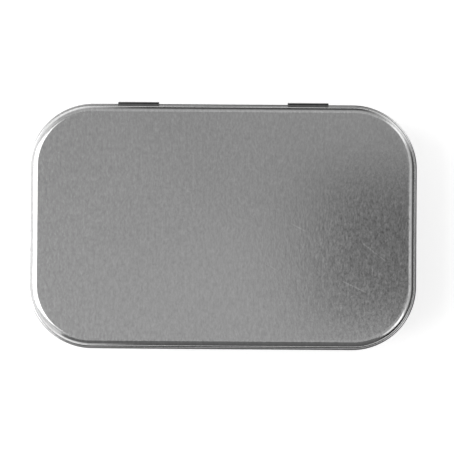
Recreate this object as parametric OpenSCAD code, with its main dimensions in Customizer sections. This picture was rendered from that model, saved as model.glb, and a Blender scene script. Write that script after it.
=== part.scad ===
// A small hinged tin of pressed tinplate, shown closed and resting on its underside.
// The body and the lid are each drawn from one sheet, so the sheet's thickness is the same
// everywhere. The bead rolled round the lid's edge is the pin of the hinge as well: two lugs
// lanced from the body's back wall curl round it and hook in through slots in the lid's skirt.
// +X runs along the tin and +Y to its back. The origin is at the middle of the underside.

/* [Tin] */
// Length over the lid's bead
tin_length = 95; // [85:1:140]
// Width over the lid's bead, from front to back
tin_width = 60; // [45:0.5:100]
// Height from the underside to the top of the lid
tin_height = 21; // [16:0.5:40]
// Radius of the upright corners, over the lid's bead
corner_radius = 15.7; // [10:0.1:18]
// Thickness of the tinplate
sheet = 0.3; // [0.2:0.02:0.36]

/* [Lid] */
// Depth of the lid, from its top to the underside of its bead
lid_depth = 7; // [6.5:0.25:12]
// Outside radius of the shoulder between the lid's top and its skirt
shoulder_radius = 1.3; // [0.9:0.1:2.5]
// Outside diameter of the bead rolled outwards along the lid's edge
bead_diameter = 1.2; // [1:0.05:1.4]
// Where the bead's roll ends, in degrees up and over from straight outwards
bead_roll = 90; // [60:5:105]

/* [Body] */
// Outside radius between the underside and the wall
bottom_radius = 2; // [1:0.25:4]
// Outside diameter of the safe edge rolled inwards along the rim
rim_diameter = 1.2; // [1:0.05:1.6]
// Where the rim's roll ends, in degrees up and over from straight outwards
rim_roll = 270; // [200:5:280]
// Gap between the rim and the inside of the closed lid
rim_gap = 0.15; // [0.05:0.05:0.5]
// Gap that is left between the skirt and the front wall as the lid swings past the rim
swing_gap = 0.05; // [0.02:0.01:0.3]
// Distance from the wall to the edge of the panel raised in the underside
panel_inset = 5; // [3:0.5:7]
// Height by which the panel is raised
panel_rise = 0.4; // [0.2:0.1:0.8]
// Inside radius of the two bends along the panel's edge
panel_bend = 0.5; // [0.3:0.1:1]

/* [Hinge] */
// Width of each lug
lug_width = 10; // [6:0.5:12]
// Distance between the middles of the two lugs
lug_spacing = 41.5; // [20:0.5:48]
// Running clearance between the bead and the lug curled round it
lug_play = 0.1; // [0.06:0.01:0.15]
// Where the lug's tip ends, in degrees up and over the bead from straight back
lug_wrap = 150; // [120:5:160]
// Lean of the flat on the lug's back, which the lid's slot comes up against when it is open
lug_lean = 14; // [6:1:20]
// Length of that flat
lug_flat = 0.45; // [0.3:0.05:0.6]
// Inside radius of the bend that takes the lug under the bead
lug_bend = 0.45; // [0.3:0.05:0.6]
// Inside radius of the bend that takes the lug out of the wall
root_bend = 0.3; // [0.15:0.05:0.5]
// Width of the cut on each side of a lug
lance_gap = 0.2; // [0.1:0.05:0.5]
// Length of the slanted corners at a lug's tip
tip_chamfer = 0.8; // [0.3:0.1:1.5]
// Gap beside a lug in its slot
slot_gap = 0.3; // [0.15:0.05:0.6]
// Gap over a lug in its slot
slot_play = 0.03; // [0.02:0.01:0.1]

/* [Hidden] */
$fn = 96;
tinplate = [0.57, 0.57, 0.57];
// Depth by which a cut runs past the surface that it opens
past = 0.1;

// Derived places are kept to whole microns, so that neighbouring pieces meet exactly.
function micron(value) = round(value * 1000) / 1000;

// Rectangle through the centres of the four upright corners
span = [tin_length - 2 * corner_radius, tin_width - 2 * corner_radius];

// Lid. Distances called _x are counted outwards from the rectangle of the corner centres.
bead_r = bead_diameter / 2;
bead_x = corner_radius - bead_r;
bead_z = tin_height - lid_depth + bead_r;
skirt_in = corner_radius - bead_diameter;
skirt_out = skirt_in + sheet;
shoulder_x = skirt_out - shoulder_radius;
shoulder_z = tin_height - shoulder_radius;
lid_under = tin_height - sheet;

// Wall. The front of the skirt swings inwards by this much before it is clear of the rim.
rim_r = rim_diameter / 2;
rim_under_top = lid_under - rim_gap - rim_r;
swing_arm = tin_width - bead_r - bead_diameter;
swing_in = pow(rim_under_top - bead_z, 2) / (2 * swing_arm);
wall_out = micron(skirt_in - swing_gap - swing_in);
wall_in = wall_out - sheet;

// The rim sits under the lid's top, or lower where the inside of the shoulder is in its way.
rim_x = wall_out - rim_r;
shoulder_room = shoulder_radius - sheet - rim_r - rim_gap;
shoulder_offset = rim_x - shoulder_x;
rim_under_shoulder = shoulder_z + sqrt(max(0, pow(shoulder_room, 2) - pow(shoulder_offset, 2)));
rim_z = micron(shoulder_offset > 0 ? min(rim_under_top, rim_under_shoulder) : rim_under_top);

// Panel
panel_mid = panel_bend + sheet / 2;
panel_turn = acos(1 - panel_rise / (2 * panel_mid));
panel_run = micron(2 * panel_mid * sin(panel_turn));
panel_edge = wall_out - panel_inset;

// Lug, drawn from the bead's axis: its first axis points straight back and its second up
lug_in = bead_r + lug_play;
lug_out = lug_in + sheet;
lug_mid = lug_in + sheet / 2;
under_mid = lug_bend + sheet / 2;
root_mid = root_bend + sheet / 2;
under_at = [
    micron((lug_mid - under_mid) * cos(lug_lean) + lug_flat * sin(lug_lean)),
    micron((lug_mid - under_mid) * sin(lug_lean) - lug_flat * cos(lug_lean))
];
root_at = [wall_out - bead_x - sheet / 2 + root_mid, under_at[1] - under_mid - root_mid];
// The length of sheet in a lug is the height of the window that it was cut from.
lug_length = PI / 180 * (90 * root_mid + (90 + lug_lean) * under_mid + (lug_wrap - lug_lean) * lug_mid)
    + under_at[0] - root_at[0] + lug_flat;

// Strip of sheet bent about a centre, with its middle at a radius, between two directions
module bend(at, radius, from, to) {
    steps = 8;
    reach = 2 * (radius + sheet);
    sector = [for (i = [0:steps]) let (a = from + (to - from) * i / steps) reach * [cos(a), sin(a)]];
    translate(at) intersection() {
        difference() {
            circle(radius + sheet / 2);
            circle(radius - sheet / 2);
        }
        polygon(concat([[0, 0]], sector));
    }
}

// Straight strip between two corners
module strip(low, high) {
    translate(low) square(high - low);
}

// Carries a section round the tin: its first axis points outwards and its second up
module around() {
    for (i = [0:3]) {
        along = i % 2 == 0 ? span[1] : span[0];
        across = i % 2 == 0 ? span[0] : span[1];
        rotate(90 * i) translate([across / 2, along / 2, 0]) {
            rotate([90, 0, 0]) linear_extrude(along) children();
            rotate_extrude(angle = 90) children();
        }
    }
}

// Flat sheet between the corner centres, where a section carried round the tin begins
module middle(z) {
    translate([-span[0] / 2, -span[1] / 2, z]) cube([span[0], span[1], sheet]);
}

// Places a shape at both lugs. A section is drawn from the bead's axis, as the lugs are.
module at_lugs() {
    for (side = [-1, 1]) translate([side * lug_spacing / 2, span[1] / 2 + bead_x, bead_z]) children();
}

module along_hinge(width) {
    rotate([90, 0, 90]) translate([0, 0, -width / 2]) linear_extrude(width) children();
}

module lid_section() {
    strip([0, lid_under], [shoulder_x, tin_height]);
    bend([shoulder_x, shoulder_z], shoulder_radius - sheet / 2, 0, 90);
    strip([skirt_in, bead_z], [skirt_out, shoulder_z]);
    bend([bead_x, bead_z], bead_r - sheet / 2, 180, 360 + bead_roll);
}

module slot_section() {
    inner = wall_out - bead_x;
    low = micron(sqrt(pow(bead_r + lug_play / 2, 2) - pow(bead_r, 2)));
    strip([inner, low], [sheet - bead_r + past, lug_out + slot_play]);
}

module lid() {
    color(tinplate) difference() {
        union() {
            middle(lid_under);
            around() lid_section();
        }
        at_lugs() along_hinge(lug_width + 2 * slot_gap) slot_section();
    }
}

module body_section() {
    low_mid = [panel_edge, sheet / 2 + panel_mid];
    high_mid = [panel_edge - panel_run, panel_rise + sheet / 2 - panel_mid];
    strip([0, panel_rise], [high_mid[0], panel_rise + sheet]);
    bend(high_mid, panel_mid, 90 - panel_turn, 90);
    bend(low_mid, panel_mid, 270 - panel_turn, 270);
    strip([panel_edge, 0], [wall_out - bottom_radius, sheet]);
    bend([wall_out - bottom_radius, bottom_radius], bottom_radius - sheet / 2, 270, 360);
    strip([wall_in, bottom_radius], [wall_out, rim_z]);
    bend([rim_x, rim_z], rim_r - sheet / 2, 0, rim_roll);
}

module lug_section() {
    bend(root_at, root_mid, 90, 180);
    strip([root_at[0], under_at[1] - under_mid - sheet / 2], [under_at[0], under_at[1] - under_mid + sheet / 2]);
    bend(under_at, under_mid, -90, lug_lean);
    rotate(lug_lean) strip([lug_in, -lug_flat], [lug_out, 0]);
    bend([0, 0], lug_mid, lug_lean, lug_wrap);
}

// Corners cut away from a lug's tip, over the bead
module tip_cuts() {
    for (side = [-1, 1]) scale([side, 1, 1]) translate([lug_width / 2, -lug_out - past, 0])
        linear_extrude(lug_out + past) polygon([[-tip_chamfer, 0], [past, 0], [past, tip_chamfer + past]]);
}

module window_section() {
    strip([wall_in - bead_x - past, root_at[1]], [wall_out - bead_x + past, root_at[1] + lug_length]);
}

module body() {
    color(tinplate) {
        difference() {
            union() {
                middle(panel_rise);
                around() body_section();
            }
            at_lugs() along_hinge(lug_width + 2 * lance_gap) window_section();
        }
        at_lugs() difference() {
            along_hinge(lug_width) lug_section();
            tip_cuts();
        }
    }
}

body();
lid();
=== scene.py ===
import math

import bmesh
import bpy
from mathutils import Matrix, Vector


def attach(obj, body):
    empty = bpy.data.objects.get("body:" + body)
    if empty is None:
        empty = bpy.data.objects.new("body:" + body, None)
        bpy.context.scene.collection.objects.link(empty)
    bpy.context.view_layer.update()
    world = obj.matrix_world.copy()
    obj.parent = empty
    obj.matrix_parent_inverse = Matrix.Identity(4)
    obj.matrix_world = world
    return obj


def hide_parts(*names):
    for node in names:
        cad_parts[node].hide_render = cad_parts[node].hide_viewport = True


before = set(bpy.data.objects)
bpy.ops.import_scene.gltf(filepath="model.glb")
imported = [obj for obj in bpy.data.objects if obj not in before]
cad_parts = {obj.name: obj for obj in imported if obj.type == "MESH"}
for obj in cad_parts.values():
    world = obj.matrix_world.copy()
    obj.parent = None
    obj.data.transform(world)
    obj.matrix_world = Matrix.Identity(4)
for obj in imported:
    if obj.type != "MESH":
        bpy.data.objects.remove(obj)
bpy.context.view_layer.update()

# The tin is worked out in millimetres and made metres when a piece is finished.
MM = 0.001

# Tin
TIN_LENGTH = 95.0
TIN_WIDTH = 60.0
TIN_HEIGHT = 21.0
CORNER_RADIUS = 15.7
SHEET = 0.3

# Lid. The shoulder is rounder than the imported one, as the photograph has it, and the rim
# under it sits a little lower for that. The tin's outside measures stay the same.
LID_DEPTH = 7.0
SHOULDER_RADIUS = 1.8
BEAD_RADIUS = 0.6
BEAD_ROLL = 90

# Body
BOTTOM_RADIUS = 2.0
RIM_RADIUS = 0.6
RIM_ROLL = 270
RIM_GAP = 0.15
SWING_GAP = 0.05
PANEL_INSET = 5.0
PANEL_RISE = 0.4
PANEL_BEND = 0.5

# Hinge
LUG_WIDTH = 10.0
LUG_SPACING = 41.5
LUG_PLAY = 0.1
LUG_WRAP = 150
LUG_LEAN = 14
LUG_FLAT = 0.45
LUG_BEND = 0.45
ROOT_BEND = 0.3
LANCE_GAP = 0.2
TIP_CHAMFER = 0.8
SLOT_GAP = 0.3
SLOT_PLAY = 0.03

# Places of the halfway line through the sheet. The first number of a pair is counted outwards
# from the rectangle of the corner centres, and the second is the height.
HALF = SHEET / 2
SPAN_X = TIN_LENGTH / 2 - CORNER_RADIUS
SPAN_Y = TIN_WIDTH / 2 - CORNER_RADIUS
BEAD_AT = (CORNER_RADIUS - BEAD_RADIUS, TIN_HEIGHT - LID_DEPTH + BEAD_RADIUS)
SKIRT = CORNER_RADIUS - 2 * BEAD_RADIUS + HALF
SHOULDER_AT = (SKIRT + HALF - SHOULDER_RADIUS, TIN_HEIGHT - SHOULDER_RADIUS)
HIGHEST_RIM = TIN_HEIGHT - SHEET - RIM_GAP - RIM_RADIUS
SWING_IN = (HIGHEST_RIM - BEAD_AT[1]) ** 2 / (2 * (TIN_WIDTH - 3 * BEAD_RADIUS))
WALL = SKIRT - SHEET - SWING_GAP - SWING_IN
SHOULDER_ROOM = SHOULDER_RADIUS - SHEET - RIM_RADIUS - RIM_GAP
RIM_X = WALL + HALF - RIM_RADIUS
RIM_RISE = math.sqrt(SHOULDER_ROOM ** 2 - (RIM_X - SHOULDER_AT[0]) ** 2)
RIM_AT = (RIM_X, SHOULDER_AT[1] + RIM_RISE)
PANEL_MID = PANEL_BEND + HALF
PANEL_TURN = math.degrees(math.acos(1 - PANEL_RISE / (2 * PANEL_MID)))
PANEL_EDGE = WALL + HALF - PANEL_INSET
PANEL_RUN = 2 * PANEL_MID * math.sin(math.radians(PANEL_TURN))

# Lug, with its places counted from the bead's axis, straight back and up
BEAD_Y = SPAN_Y + BEAD_AT[0]
LUG_MID = BEAD_RADIUS + LUG_PLAY + HALF
UNDER_MID = LUG_BEND + HALF
ROOT_MID = ROOT_BEND + HALF
LEAN = math.radians(LUG_LEAN)
UNDER_AT = (
    (LUG_MID - UNDER_MID) * math.cos(LEAN) + LUG_FLAT * math.sin(LEAN),
    (LUG_MID - UNDER_MID) * math.sin(LEAN) - LUG_FLAT * math.cos(LEAN),
)
ROOT_AT = (WALL - BEAD_AT[0] + ROOT_MID, UNDER_AT[1] - UNDER_MID - ROOT_MID)
LUG_LENGTH = (
    math.radians(90) * ROOT_MID
    + math.radians(90 + LUG_LEAN) * UNDER_MID
    + math.radians(LUG_WRAP - LUG_LEAN) * LUG_MID
    + UNDER_AT[0] - ROOT_AT[0] + LUG_FLAT
)

# Fineness of the bends
CORNER_STEPS = 32
DEGREES_A_STEP = 9
FEWEST_STEPS = 2

# How near two points have to be to count as one, and a point to lie on a wall or on a cut
SAME_PLACE = 0.0005
SAME_WALL = 0.01
SAME_CUT = 0.00005
# Cosine from which two lines count as running the same way
SAME_WAY = 0.9999
# Depth by which a cut starts outside the sheet
PAST = 0.1

# Broken edges of the cut sheet
RAW_EDGE = 0.035
RAW_EDGE_STEPS = 2
SHARP_FROM = 60


# Working the sheet

def bend(centre, turn):
    """One move of a section: a bend about a centre, by degrees that count up from outwards."""
    return "bend", centre, turn


def straight(to):
    return "straight", to, 0


def steps_of(turn):
    return max(FEWEST_STEPS, round(abs(turn) / DEGREES_A_STEP))


def spin_round(bm, geom, centre, axis, turn, steps):
    """Spins points and edges about an axis, and returns what lies at the end of the turn."""
    return bmesh.ops.spin(
        bm, geom=geom, cent=centre, axis=axis, dvec=(0, 0, 0), angle=math.radians(turn),
        steps=steps, use_merge=False, use_normal_flip=False, use_duplicate=False,
    )["geom_last"]


def at_corner(place):
    """A point of a section, drawn on the side of the corner's centre."""
    return Vector((SPAN_X + place[0], SPAN_Y, place[1]))


def draw_section(bm, start, moves):
    """Grows the chain of edges that the halfway line through the sheet follows, from the
    middle of the flat blank outwards."""
    tip = bm.verts.new(at_corner(start))
    for kind, place, turn in moves:
        if kind == "bend":
            made = spin_round(bm, [tip], at_corner(place), (0, -1, 0), turn, steps_of(turn))
            tip = [v for v in made if isinstance(v, bmesh.types.BMVert)][0]
        else:
            tip = bmesh.ops.extrude_vert_indiv(bm, verts=[tip])["verts"][0]
            tip.co = at_corner(place)


def note_reach(bm):
    """Writes on each point of the chain how far out it lay before the sheet was bent."""
    reach = bm.verts.layers.float.new("reach")
    bm.verts.ensure_lookup_table()
    here, before, run = bm.verts[0], None, 0
    while here:
        here[reach] = run
        ahead = [e for e in here.link_edges if e.other_vert(here) is not before]
        before = here
        here = ahead[0].other_vert(here) if ahead else None
        run += ahead[0].calc_length() if ahead else 0


def pull(bm, edges, by):
    """Draws edges out into a strip, and returns the edges at its far end."""
    made = bmesh.ops.extrude_edge_only(bm, edges=edges)["geom"]
    bmesh.ops.translate(bm, vec=by, verts=[g for g in made if isinstance(g, bmesh.types.BMVert)])
    return [g for g in made if isinstance(g, bmesh.types.BMEdge) and not is_rung(g, by)]


def is_rung(edge, by):
    """True for an edge that runs the way that a strip was pulled."""
    along = edge.verts[1].co - edge.verts[0].co
    return along.length > 0 and abs(along.normalized().dot(Vector(by).normalized())) > SAME_WAY


def carry_round(bm):
    """Carries the chain round one corner and along half of each side that meets there."""
    first = bm.edges[:]
    spun = spin_round(bm, bm.verts[:] + first, (SPAN_X, SPAN_Y, 0), (0, 0, 1), 90, CORNER_STEPS)
    last = [g for g in spun if isinstance(g, bmesh.types.BMEdge)]
    pull(bm, last, (-SPAN_X, 0, 0))
    pull(bm, first, (0, -SPAN_Y, 0))

    # The middle of the sheet is still open beside the strip that was pulled to the front.
    def beside_strip(v):
        return abs(v.co.x - SPAN_X) < SAME_PLACE and v.co.y < SPAN_Y + SAME_PLACE

    middle = [
        e for e in bm.edges
        if all(beside_strip(v) for v in e.verts) and e.calc_length() > SPAN_Y / 2
    ]
    pull(bm, middle, (-SPAN_X, 0, 0))


def mirror(bm, axis):
    geom = bm.verts[:] + bm.edges[:] + bm.faces[:]
    bmesh.ops.mirror(bm, geom=geom, axis=axis, merge_dist=0)
    bmesh.ops.remove_doubles(bm, verts=bm.verts, dist=SAME_PLACE)


def cut(bm, wanted, at, across, clear=False):
    """Scribes a line over the wanted faces, and takes away what lies past it if clear is set."""
    faces = [f for f in bm.faces if wanted(f.calc_center_median())]
    geom = list(dict.fromkeys(g for f in faces for g in (*f.verts, *f.edges, f)))
    bmesh.ops.bisect_plane(
        bm, geom=geom, dist=SAME_CUT, plane_co=at, plane_no=across, clear_outer=clear
    )


def punch(bm, wanted, middle, width, low, high):
    """Punches an oblong hole through an upright wall at the back."""
    for side in (-1, 1):
        cut(bm, wanted, (middle + side * width / 2, 0, 0), (1, 0, 0))
    for z in (low, high):
        cut(bm, wanted, (0, 0, z), (0, 0, 1))
    holed = [
        f for f in bm.faces
        if wanted(f.calc_center_median())
        and abs(f.calc_center_median().x - middle) < width / 2
        and low < f.calc_center_median().z < high
    ]
    bmesh.ops.delete(bm, geom=holed, context="FACES")


def note_blank(bm):
    """Notes for each point where it lay on the flat blank, which the rolled grain follows."""
    reach = bm.verts.layers.float["reach"]
    blank = bm.verts.layers.float_vector.new("blank")
    for v in bm.verts:
        centre = Vector((
            max(-SPAN_X, min(SPAN_X, v.co.x)), max(-SPAN_Y, min(SPAN_Y, v.co.y))
        ))
        out = v.co.xy - centre
        place = centre + out.normalized() * v[reach] if out.length > SAME_PLACE else v.co.xy
        v[blank] = (place.x, place.y, 0)


def note_lug_shade(bm):
    """Notes the points of the lugs, which are painted darker as painted shade."""
    lug_shade = bm.verts.layers.float.new("lug_shade")
    for v in bm.verts:
        v[lug_shade] = 1 if v.co.y > SPAN_Y + WALL + SAME_WALL else 0


def make_object(bm, name, material):
    """Turns a finished bmesh into an object of the scene."""
    mesh = bpy.data.meshes.new(name)
    bm.to_mesh(mesh)
    bm.free()
    mesh.materials.append(material)
    made = bpy.data.objects.new(name, mesh)
    bpy.context.scene.collection.objects.link(made)
    return made


def finish_piece(bm, name, body, material):
    """Merges the seams, gives the sheet its thickness and broken edges, and seats the piece."""
    bmesh.ops.remove_doubles(bm, verts=bm.verts, dist=SAME_PLACE)
    bmesh.ops.recalc_face_normals(bm, faces=bm.faces)
    note_blank(bm)
    bmesh.ops.scale(bm, vec=(MM, MM, MM), verts=bm.verts)
    for face in bm.faces:
        face.smooth = True
    piece = make_object(bm, name, material)
    wall = piece.modifiers.new("sheet", "SOLIDIFY")
    wall.thickness = SHEET * MM
    wall.offset = 0
    wall.use_even_offset = True
    wall.use_quality_normals = True
    edge = piece.modifiers.new("raw_edge", "BEVEL")
    edge.width = RAW_EDGE * MM
    edge.segments = RAW_EDGE_STEPS
    edge.limit_method = "ANGLE"
    edge.angle_limit = math.radians(SHARP_FROM)
    edge.use_clamp_overlap = False
    even = piece.modifiers.new("even_gloss", "WEIGHTED_NORMAL")
    even.mode = "FACE_AREA"
    even.keep_sharp = False
    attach(piece, body)
    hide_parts(body)
    return piece


# The two pressings

def make_lid(material):
    bm = bmesh.new()
    top = TIN_HEIGHT - HALF
    draw_section(bm, (0, top), [
        straight((SHOULDER_AT[0] / 2, top)),
        straight((SHOULDER_AT[0], top)),
        bend(SHOULDER_AT, -90),
        straight((SKIRT, BEAD_AT[1])),
        bend(BEAD_AT, 180 + BEAD_ROLL),
    ])
    note_reach(bm)
    carry_round(bm)
    mirror(bm, "Y")

    def back_of_skirt(place):
        return abs(place.y - SPAN_Y - SKIRT) < SAME_WALL

    slot_low = math.sqrt((BEAD_RADIUS + LUG_PLAY / 2) ** 2 - BEAD_RADIUS ** 2)
    slot_high = LUG_MID + HALF + SLOT_PLAY
    punch(
        bm, back_of_skirt, LUG_SPACING / 2, LUG_WIDTH + 2 * SLOT_GAP,
        BEAD_AT[1] + slot_low, BEAD_AT[1] + slot_high,
    )
    mirror(bm, "X")
    return finish_piece(bm, "lid_pressing", "lid", material)


def bend_lug(bm):
    """Bends the tongue that was cut from the window out of the wall, under the bead and over."""
    foot = BEAD_AT[1] + ROOT_AT[1]
    edges = [
        e for e in bm.edges
        if all(
            abs(v.co.z - foot) < SAME_PLACE and v.co.y > SPAN_Y
            and abs(v.co.x - LUG_SPACING / 2) < LUG_WIDTH / 2 + SAME_PLACE
            for v in e.verts
        ) and e.calc_length() > SAME_PLACE
    ]

    def turn(edges, place, degrees):
        geom = edges + list(dict.fromkeys(v for e in edges for v in e.verts))
        centre = (0, BEAD_Y + place[0], BEAD_AT[1] + place[1])
        made = spin_round(bm, geom, centre, (1, 0, 0), degrees, steps_of(degrees))
        return [g for g in made if isinstance(g, bmesh.types.BMEdge)]

    edges = turn(edges, ROOT_AT, -90)
    edges = pull(bm, edges, (0, UNDER_AT[0] - ROOT_AT[0], 0))
    edges = turn(edges, UNDER_AT, 90 + LUG_LEAN)
    edges = pull(bm, edges, (0, -LUG_FLAT * math.sin(LEAN), LUG_FLAT * math.cos(LEAN)))
    turn(edges, (0, 0), LUG_WRAP - LUG_LEAN)

    # The tip reaches over the bead, and both of its corners are cut away on a slant.
    reach = BEAD_Y - LUG_MID - HALF

    def tip(place):
        return (
            reach < place.y < BEAD_Y + BEAD_RADIUS / 2
            and place.z > BEAD_AT[1] + BEAD_RADIUS / 2
            and abs(place.x - LUG_SPACING / 2) < LUG_WIDTH
        )

    for side in (-1, 1):
        start = LUG_SPACING / 2 + side * (LUG_WIDTH / 2 - TIP_CHAMFER)
        cut(bm, tip, (start, reach - PAST, 0), (side, -1, 0), clear=True)


def make_body(material):
    bm = bmesh.new()
    floor = PANEL_RISE + HALF
    draw_section(bm, (0, floor), [
        straight((PANEL_EDGE - PANEL_RUN, floor)),
        bend((PANEL_EDGE - PANEL_RUN, floor - PANEL_MID), -PANEL_TURN),
        bend((PANEL_EDGE, HALF + PANEL_MID), PANEL_TURN),
        straight((WALL + HALF - BOTTOM_RADIUS, HALF)),
        bend((WALL + HALF - BOTTOM_RADIUS, BOTTOM_RADIUS), 90),
        straight((WALL, RIM_AT[1])),
        bend(RIM_AT, RIM_ROLL),
    ])
    note_reach(bm)
    carry_round(bm)
    mirror(bm, "Y")

    def back_wall(place):
        return place.y > SPAN_Y + WALL - SAME_WALL and BOTTOM_RADIUS < place.z < RIM_AT[1]

    low = BEAD_AT[1] + ROOT_AT[1]
    for side in (-1, 1):
        cut(bm, back_wall, (LUG_SPACING / 2 + side * LUG_WIDTH / 2, 0, 0), (1, 0, 0))
    width = LUG_WIDTH + 2 * LANCE_GAP
    punch(bm, back_wall, LUG_SPACING / 2, width, low, low + LUG_LENGTH)
    bend_lug(bm)
    note_lug_shade(bm)
    mirror(bm, "X")
    return finish_piece(bm, "body_pressing", "body", material)


# The finish

# Patterns on the flat blank: blotches to the millimetre along and across the tin, finer layers,
# and how much each layer adds
GRAIN = (2.3, 1.1, 3, 0.65)
STREAKS = (1.2, 0.4, 2, 0.5)
DARK_SPECKS = (1.9, 1.2, 2, 0.6)
MOTTLE = (0.45, 0.3, 2, 0.6)
CLOUDS = (0.035, 0.03, 2, 0.5)
# Noise below which a dark speck starts, and below which it is at its full darkness
SPECK_FROM, SPECK_FULL = -0.04, -0.16

# Tone of the tinplate, from 0 for black to 1 for white, and how far each pattern moves it
TINPLATE = 0.57
GRAIN_TONE = 0.3
STREAK_TONE = 0.17
CLOUD_TONE = 0.05
SCRATCH_TONE = 0.07

# Roughness of the tinplate, and how far each pattern moves it
SATIN = 0.15
GRAIN_SATIN = 0.1
CLOUD_SATIN = 0.05

# Height of the grain in metres, and the streaks' and scratches' share of it
GRAIN_RELIEF = 0.000016
STREAK_RELIEF = 0.6
SCRATCH_RELIEF = 0.5

# Stretch of the lid's top with painted patchy shade: the grain is stronger there, mottled and
# specked darker, as the reflection turns dark and patchy.
# The core is the share of its reach that is painted in full.
PATCHY_SHADE_AT = (38, -8, 0)
PATCHY_SHADE_REACH = 25
PATCHY_SHADE_CORE = 0.3
PATCHY_SHADE_GRAIN = 1.5
MOTTLE_TONE = 0.2
SPECK_SHADE = 0.15
PATCHY_SHADE_TONE = 0.02

# Scratches on the lid's top: start, end and width in millimetres
SCRATCHES = [
    ((16.4, 0.9), (20.5, -1.3), 0.16),
    ((33.5, -3.5), (40.1, -8.6), 0.14),
    ((28.8, -13.0), (35.2, -16.0), 0.15),
    ((36.4, -9.1), (36.4, -11.8), 0.14),
    ((10.2, -8.9), (13.2, -10.6), 0.12),
]
# Share of its width that is scratched in full, and share of its length over which an end fades
SCRATCH_CORE = 0.3
SCRATCH_FADE = 0.15

# The lugs are painted darker, as painted shade, and made duller.
LUG_PAINTED_SHADE = 0.72
WORKED_SATIN = 0.15


class Wire:
    """The output of a shader node. Arithmetic on it adds Math nodes, and make adds any other."""

    def __init__(self, tree, socket=None):
        self.tree = tree
        self.socket = socket

    def make(self, kind, settings=None, inputs=None, output=0):
        node = self.tree.nodes.new(kind)
        for name, value in (settings or {}).items():
            setattr(node, name, value)
        for name, value in (inputs or {}).items():
            if isinstance(value, Wire):
                self.tree.links.new(value.socket, node.inputs[name])
            else:
                node.inputs[name].default_value = value
        return Wire(self.tree, node.outputs[output] if node.outputs else None)

    def math(self, operation, *terms):
        return self.make("ShaderNodeMath", {"operation": operation}, dict(enumerate(terms)))

    def __add__(self, other):
        return self.math("ADD", self, other)

    def __sub__(self, other):
        return self.math("SUBTRACT", self, other)

    def __rsub__(self, other):
        return self.math("SUBTRACT", other, self)

    def __mul__(self, other):
        return self.math("MULTIPLY", self, other)

    def __truediv__(self, other):
        return self.math("DIVIDE", self, other)

    __radd__ = __add__
    __rmul__ = __mul__

    def size(self):
        return self.math("ABSOLUTE", self)

    def vector(self, operation, other=(0, 0, 0), output=0):
        return self.make(
            "ShaderNodeVectorMath", {"operation": operation}, {0: self, 1: other}, output
        )

    def part(self, axis):
        return self.make("ShaderNodeSeparateXYZ", {}, {0: self}, axis)

    def noise(self, along, across, layers, share):
        """Noise about 0 on this vector, with most of it between -0.2 and 0.2."""
        stretched = self.vector("MULTIPLY", (along, across, 1))
        return stretched.make(
            "ShaderNodeTexNoise", {"noise_dimensions": "3D"},
            {"Vector": stretched, "Scale": 1, "Detail": layers, "Roughness": share},
        ) - 0.5

    def step(self, low, high):
        """0 below low and 1 above high, with a smooth rise between."""
        return self.make(
            "ShaderNodeMapRange", {"interpolation_type": "SMOOTHSTEP"},
            {"Value": self, "From Min": low, "From Max": high},
        )


def new_material(name):
    material = bpy.data.materials.new(name)
    material.use_nodes = True
    material.node_tree.nodes.clear()
    return material, Wire(material.node_tree)


def object_place(wire):
    return wire.make("ShaderNodeTexCoord", {}, {}, "Object")


def scratch(blank, start, end, width):
    """How strongly a fine scratch between two points of the blank shows, from 0 to 1."""
    run = Vector(end) - Vector(start)
    away = blank.vector("SUBTRACT", (*start, 0))
    along = away.vector("DOT_PRODUCT", (*(run / run.length_squared), 0), "Value")
    beside = away.vector("DOT_PRODUCT", (-run.y / run.length, run.x / run.length, 0), "Value")
    line = 1 - (beside.size() / width).step(SCRATCH_CORE, 1)
    # The depth fades out towards both ends.
    return line * (along.step(0, SCRATCH_FADE) - along.step(1 - SCRATCH_FADE, 1))


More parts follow.
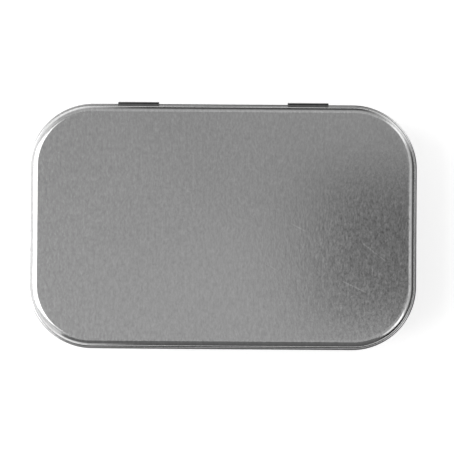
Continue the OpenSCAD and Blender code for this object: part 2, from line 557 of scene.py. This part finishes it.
def tinplate():
    """Bare tinplate: fine rolled grain and soft clouds, on the lid's top scratches and a patch
    of painted shade, and painted shade on the lugs.
    """
    material, wire = new_material("bare_tinplate")
    blank = wire.make("ShaderNodeAttribute", {"attribute_name": "blank"}, {}, "Vector")
    lug_shade = wire.make("ShaderNodeAttribute", {"attribute_name": "lug_shade"}, {}, "Fac")
    grain = blank.noise(*GRAIN)
    streaks = blank.noise(*STREAKS)
    clouds = blank.noise(*CLOUDS)
    mottle = blank.noise(*MOTTLE)
    dark_specks = 1 - blank.noise(*DARK_SPECKS).step(SPECK_FULL, SPECK_FROM)

    # The scratches and the painted patchy shade lie only on the outside of the lid's top, the
    # highest face of the tin.
    height = object_place(wire).part("Z") / MM
    lid_top_face = height.step(TIN_HEIGHT - SHEET * 2 / 3, TIN_HEIGHT - SHEET / 3)
    off = blank.vector("DISTANCE", PATCHY_SHADE_AT, "Value") / PATCHY_SHADE_REACH
    patchy_shade = (1 - off.step(PATCHY_SHADE_CORE, 1)) * lid_top_face
    worn = lid_top_face * sum(scratch(blank, *line) for line in SCRATCHES)

    fine = grain * GRAIN_TONE + streaks * STREAK_TONE
    # Painted shade: in the patch the grain is stronger and mottled, with dark specks.
    tone = TINPLATE + fine * (1 + patchy_shade * PATCHY_SHADE_GRAIN) + clouds * CLOUD_TONE
    tone = tone + patchy_shade * (mottle * MOTTLE_TONE - dark_specks * SPECK_SHADE + PATCHY_SHADE_TONE)
    # Painted shade: the lugs are darkened.
    tone = (tone + worn * SCRATCH_TONE) * (1 - lug_shade * LUG_PAINTED_SHADE)
    rough = SATIN + grain * GRAIN_SATIN + clouds * CLOUD_SATIN + lug_shade * WORKED_SATIN
    relief = grain + streaks * STREAK_RELIEF - worn * SCRATCH_RELIEF

    colour = wire.make("ShaderNodeCombineColor", {}, {0: tone, 1: tone, 2: tone})
    bump = wire.make(
        "ShaderNodeBump", {}, {"Strength": 1.0, "Distance": GRAIN_RELIEF, "Height": relief}
    )
    shader = wire.make(
        "ShaderNodeBsdfPrincipled", {},
        {"Base Color": colour, "Metallic": 1.0, "Roughness": rough, "Normal": bump},
    )
    wire.make("ShaderNodeOutputMaterial", {}, {"Surface": shader})
    return material


# Floor, light and camera, in metres. A face of brightness 1 looks white.

TABLE_PAINT = 0.86
TABLE_LIFT = 0.53
TABLE_HALF = 2.0
# Distances from the tin between which the table goes over into the backdrop
BACKDROP_FROM, BACKDROP_FULL = 0.12, 0.4
SKY_ON_TIN = 0.2

DOWN, TO_FRONT, TO_BACK, TO_LEFT = (0, 0, -1), (0, -1, 0), (0, 1, 0), (-1, 0, 0)

# Cards out of the picture, which light the tin: name, place, size, facing, brightness
CARDS = [
    ("ceiling_front", (0, -0.2675, 0.8), (1.3, 0.565), DOWN, 0.53),
    ("ceiling_back", (0, 0.3075, 0.8), (1.3, 0.585), DOWN, 0.43),
    ("back_wall", (0, 0.66, 0.42), (1.2, 0.76), TO_FRONT, 0.6),
    ("front_wall", (0.15, -0.6, 0.38), (1.1, 0.8), TO_BACK, 0.2),
    ("right_wall", (0.6, 0, 0.35), (0.6, 0.9), TO_LEFT, 0.8),
]
# Flags: thin dark gauze that only the metal mirrors, and that fades out towards its edges
FLAGS = [
    ("dark_flag", (0.079, -0.003, 0.22), (0.13, 0.064), DOWN, 0.2),
    ("back_flag", (0.008, 0.0455, 0.0085), (0.104, 0.04), TO_FRONT, 0.1),
    ("front_flag", (0.012, -0.043, 0.0085), (0.118, 0.038), TO_BACK, 0.15),
    ("right_flag", (0.0605, -0.003, 0.0085), (0.084, 0.04), TO_LEFT, 0.09),
    ("corner_flag", (0.0555, -0.038, 0.0085), (0.032, 0.038), (-1, 1, 0), 0.03),
]
# Share of a flag's half width and height, from its middle, that is not yet fading
GAUZE_CORE = 0.5
# Softboxes aimed at the tin: name, place, size, brightness
SOFTBOXES = [
    ("left_softbox", (-0.37, 0, 0.33), (0.42, 0.6), 2.4),
    ("right_back_softbox", (0.4, 0.34, 0.25), (0.25, 0.3), 0.6),
    ("right_front_softbox", (0.4, -0.34, 0.25), (0.25, 0.3), 1.2),
]
SOFTBOX_AIM = (0, 0, 0.02)

# The camera looks down on the lid's bead, one degree from the front.
CAMERA_DISTANCE = 0.685
CAMERA_LEAN = math.radians(1)
CAMERA_TURN = math.radians(0.41)
CAMERA_AIM = (1.18 * MM, -0.04 * MM, BEAD_AT[1] * MM)
CAMERA_REACH = (0.01, 10)
PHOTO_PIXELS = 454
PIXELS_A_MM = 4.085
SENSOR_WIDTH = 36.0


def turned(facing, at=(0, 0, 0)):
    """The turn of a card or a lamp at a place that faces another place."""
    return (Vector(facing) - Vector(at)).to_track_quat("-Z", "Y").to_euler()


def in_view(wire):
    """1 for what the camera, metal and glass show, and 0 for the light that falls on things."""
    kinds = ("Is Camera Ray", "Is Glossy Ray", "Is Transmission Ray")
    return sum(wire.make("ShaderNodeLightPath", {}, {}, kind) for kind in kinds)


def white_glow(wire, brightness):
    return wire.make(
        "ShaderNodeEmission", {}, {"Color": (1, 1, 1, 1), "Strength": brightness}
    )


def grid(half):
    bm = bmesh.new()
    bmesh.ops.create_grid(bm, x_segments=1, y_segments=1, size=half)
    return bm


def lay_floor():
    material, wire = new_material("white_table")
    shown = in_view(wire)
    grey = (TABLE_PAINT, TABLE_PAINT, TABLE_PAINT, 1)
    paint = wire.make("ShaderNodeBsdfDiffuse", {}, {"Color": grey})
    glow = white_glow(wire, shown * TABLE_LIFT)
    table = wire.make("ShaderNodeAddShader", {}, {0: paint, 1: glow})
    # Away from the tin the table goes over into the white of the backdrop.
    away = object_place(wire).vector("LENGTH", output="Value")
    fade = away.step(BACKDROP_FROM, BACKDROP_FULL)
    both = wire.make("ShaderNodeMixShader", {}, {0: fade, 1: table, 2: white_glow(wire, shown)})
    wire.make("ShaderNodeOutputMaterial", {}, {"Surface": both})
    floor = make_object(grid(TABLE_HALF), "floor", material)


def hang_card(name, at, size, facing, brightness, is_flag):
    """A card whose face has the brightness given here, out of the picture."""
    material, wire = new_material(name + "_cloth")
    face = white_glow(wire, brightness)
    if is_flag:
        cover = 1
        for axis, extent in zip("XY", size):
            out = object_place(wire).part(axis).size() / (extent / 2)
            cover = cover * (1 - out.step(GAUZE_CORE, 1))
        gap = wire.make("ShaderNodeBsdfTransparent")
        face = wire.make("ShaderNodeMixShader", {}, {0: cover, 1: gap, 2: face})
    wire.make("ShaderNodeOutputMaterial", {}, {"Surface": face})
    bm = grid(0.5)
    bmesh.ops.scale(bm, vec=(*size, 1), verts=bm.verts)
    card = make_object(bm, name, material)
    card.location = at
    card.rotation_euler = turned(facing)
    card.visible_camera = False
    card.visible_diffuse = not is_flag
    card.visible_shadow = not is_flag


def hang_softbox(name, at, size, brightness):
    """A softbox whose front looks as bright as a white card lit to the brightness given here."""
    light = bpy.data.lights.new(name, "AREA")
    light.shape = "RECTANGLE"
    light.size, light.size_y = size
    light.energy = brightness * math.pi * size[0] * size[1]
    lamp = bpy.data.objects.new(name, light)
    lamp.location = at
    lamp.rotation_euler = turned(SOFTBOX_AIM, at)
    lamp.visible_camera = False
    bpy.context.scene.collection.objects.link(lamp)


def light_world():
    """A backdrop that is white in view and lights the tin only a little."""
    world = bpy.data.worlds.new("studio")
    bpy.context.scene.world = world
    world.use_nodes = True
    world.node_tree.nodes.clear()
    wire = Wire(world.node_tree)
    shown = in_view(wire)
    strength = shown + (1 - shown) * SKY_ON_TIN
    sky = wire.make("ShaderNodeBackground", {}, {"Color": (1, 1, 1, 1), "Strength": strength})
    wire.make("ShaderNodeOutputWorld", {}, {"Surface": sky})


def set_camera():
    data = bpy.data.cameras.new("camera")
    data.sensor_width = SENSOR_WIDTH
    data.lens = PIXELS_A_MM / MM * CAMERA_DISTANCE * SENSOR_WIDTH / PHOTO_PIXELS
    data.clip_start, data.clip_end = CAMERA_REACH
    camera = bpy.data.objects.new("camera", data)
    back = Vector((0, -math.sin(CAMERA_LEAN), math.cos(CAMERA_LEAN)))
    camera.location = Vector(CAMERA_AIM) + CAMERA_DISTANCE * back
    camera.rotation_euler = (CAMERA_LEAN, 0, CAMERA_TURN)
    bpy.context.scene.collection.objects.link(camera)
    bpy.context.scene.camera = camera


plate = tinplate()
make_lid(plate)
make_body(plate)
lay_floor()
for card in CARDS:
    hang_card(*card, is_flag=False)
for flag in FLAGS:
    hang_card(*flag, is_flag=True)
for softbox in SOFTBOXES:
    hang_softbox(*softbox)
light_world()
set_camera()
bpy.context.scene.view_settings.view_transform = "Standard"
